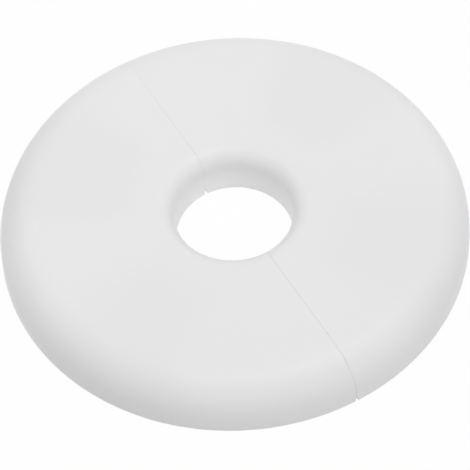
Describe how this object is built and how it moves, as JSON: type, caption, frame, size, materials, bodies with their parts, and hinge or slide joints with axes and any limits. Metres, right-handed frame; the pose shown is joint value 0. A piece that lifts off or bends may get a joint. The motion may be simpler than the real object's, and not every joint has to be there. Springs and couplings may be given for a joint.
{
  "type": "pipe rosette",
  "caption": "Low round-edged split cover ring that hides the hole around a heating pipe; its halves push together by tapered tongues and sockets under a hollow back.",
  "frame": {"origin": "centre of the bore, in the base plane that lies on the floor or wall", "axes": "+Z along the bore, away from the floor or wall; X along the seam between the halves; the rear half lies at +Y"},
  "size_m": [0.062, 0.062, 0.0063],
  "materials": {
    "white_plastic": "satin, as moulded"
  },
  "bodies": {
    "front": {"front_half": "white_plastic"},
    "rear": {"rear_half": "white_plastic"}
  },
  "joints": [
    {"name": "halves_pull_apart", "type": "slide", "parent": "front", "child": "rear", "axis": [0, 1, 0], "range_m": [0, 0.025]}
  ]
}
